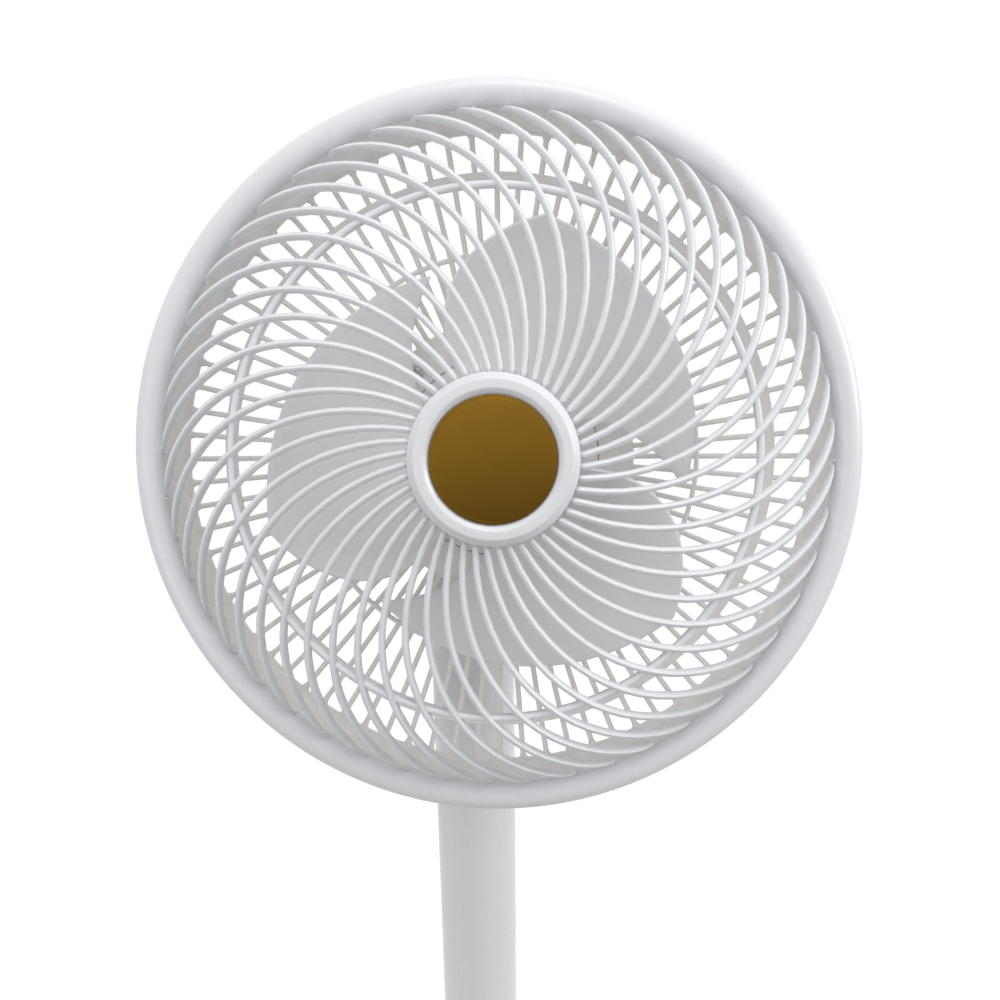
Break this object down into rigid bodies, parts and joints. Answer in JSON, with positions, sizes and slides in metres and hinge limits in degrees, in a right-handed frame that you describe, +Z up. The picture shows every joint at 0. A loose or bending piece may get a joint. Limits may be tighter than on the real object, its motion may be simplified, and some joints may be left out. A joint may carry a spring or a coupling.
{
  "type": "pedestal fan",
  "caption": "Pedestal fan with a round swirl-ribbed guard and a broad-bladed impeller on a panning, tilting neck, a straight pole and a weighted round base with push buttons.",
  "frame": {"origin": "on the floor, in the middle of the object's bounding box", "axes": "+Z up along the pole; the fan faces -Y and blows that way; +X is to the right for someone facing the fan, and the head sits to the +X side of the pole"},
  "size_m": [0.3298, 0.297, 0.9583],
  "materials": {
    "white_gloss": "moulded, glossy",
    "white_satin": "moulded, satin",
    "blade_plastic": "moulded, satin sheen",
    "badge_gold": "gold satin",
    "steel": "plain",
    "dark_plastic": "moulded, matte",
    "rubber": "matte",
    "copper": "enamelled copper wire",
    "circuit_board": "green solder mask",
    "cast_iron": "rough, painted black"
  },
  "bodies": {
    "stand": {"base_cover": "white_gloss", "base_plate": "steel", "ballast_weight": "cast_iron", "foot_1": "rubber", "foot_2": "rubber", "foot_3": "rubber", "foot_4": "rubber", "base_screw_1": "steel", "base_screw_2": "steel", "base_screw_3": "steel", "base_bolt": "steel", "pole_foot_plug": "dark_plastic", "pole_lower_tube": "white_gloss", "pole_coupler": "dark_plastic", "pole_upper_tube": "white_gloss", "pole_top_cap": "dark_plastic", "pan_gear": "white_satin", "pan_clip": "steel", "control_tray": "dark_plastic", "control_board": "circuit_board", "dc_inlet": "dark_plastic"},
    "neck": {"neck_housing": "white_gloss", "tilt_bolt": "steel", "tilt_nut": "steel", "tilt_washer_left": "dark_plastic", "tilt_washer_right": "dark_plastic", "neck_floor": "dark_plastic", "pan_motor": "steel"},
    "pinion": {"pan_pinion": "dark_plastic"},
    "head": {"front_guard": "white_gloss", "badge_disc": "badge_gold", "rear_guard": "white_satin", "guard_lock_screw": "steel", "guard_screw_1": "steel", "guard_screw_2": "steel", "guard_screw_3": "steel", "guard_screw_4": "steel", "motor_front_cover": "white_satin", "motor_rear_cover": "white_gloss", "stator_core": "steel", "winding_front": "copper", "winding_rear": "copper", "front_bearing": "steel", "rear_bearing": "steel", "motor_board": "circuit_board", "tilt_bracket": "white_gloss", "bracket_screw_1": "steel", "bracket_screw_2": "steel"},
    "fan": {"impeller": "blade_plastic", "impeller_nut": "white_satin", "motor_shaft": "steel", "rotor": "steel", "drive_pin": "steel"},
    "button_1_body": {"button_1": "white_satin"},
    "button_2_body": {"button_2": "white_satin"},
    "button_3_body": {"button_3": "white_satin"},
    "button_4_body": {"button_4": "white_satin"},
    "button_5_body": {"button_5": "white_satin"}
  },
  "joints": [
    {"name": "head_pan", "type": "hinge", "parent": "stand", "child": "neck", "pos_m": [-0.0164, 0, 0.6], "axis": [0, 0, 1], "range_deg": [-40, 40]},
    {"name": "pinion_spin", "type": "hinge", "parent": "neck", "child": "pinion", "pos_m": [-0.0164, 0.012, 0.607], "axis": [0, 0, 1], "range_deg": [-80.5, 80.5]},
    {"name": "head_tilt", "type": "hinge", "parent": "neck", "child": "head", "pos_m": [-0.0164, 0, 0.705], "axis": [-1, 0, 0], "range_deg": [-24, 46]},
    {"name": "impeller_spin", "type": "hinge", "parent": "head", "child": "fan", "pos_m": [0, -0.0636, 0.79712], "axis": [0, -0.9703, 0.2419], "continuous": true},
    {"name": "button_1_press", "type": "slide", "parent": "stand", "child": "button_1_body", "axis": [0, 0, -1], "range_m": [0, 0.0008], "stiffness_N_per_m": 400, "springref_m": -0.0005},
    {"name": "button_2_press", "type": "slide", "parent": "stand", "child": "button_2_body", "axis": [0, 0, -1], "range_m": [0, 0.0008], "stiffness_N_per_m": 400, "springref_m": -0.0005},
    {"name": "button_3_press", "type": "slide", "parent": "stand", "child": "button_3_body", "axis": [0, 0, -1], "range_m": [0, 0.0008], "stiffness_N_per_m": 400, "springref_m": -0.0005},
    {"name": "button_4_press", "type": "slide", "parent": "stand", "child": "button_4_body", "axis": [0, 0, -1], "range_m": [0, 0.0008], "stiffness_N_per_m": 400, "springref_m": -0.0005},
    {"name": "button_5_press", "type": "slide", "parent": "stand", "child": "button_5_body", "axis": [0, 0, -1], "range_m": [0, 0.0008], "stiffness_N_per_m": 400, "springref_m": -0.0005}
  ],
  "couplings": [
    {"joint": "pinion_spin", "follows": "head_pan", "ratio": 2}
  ]
}
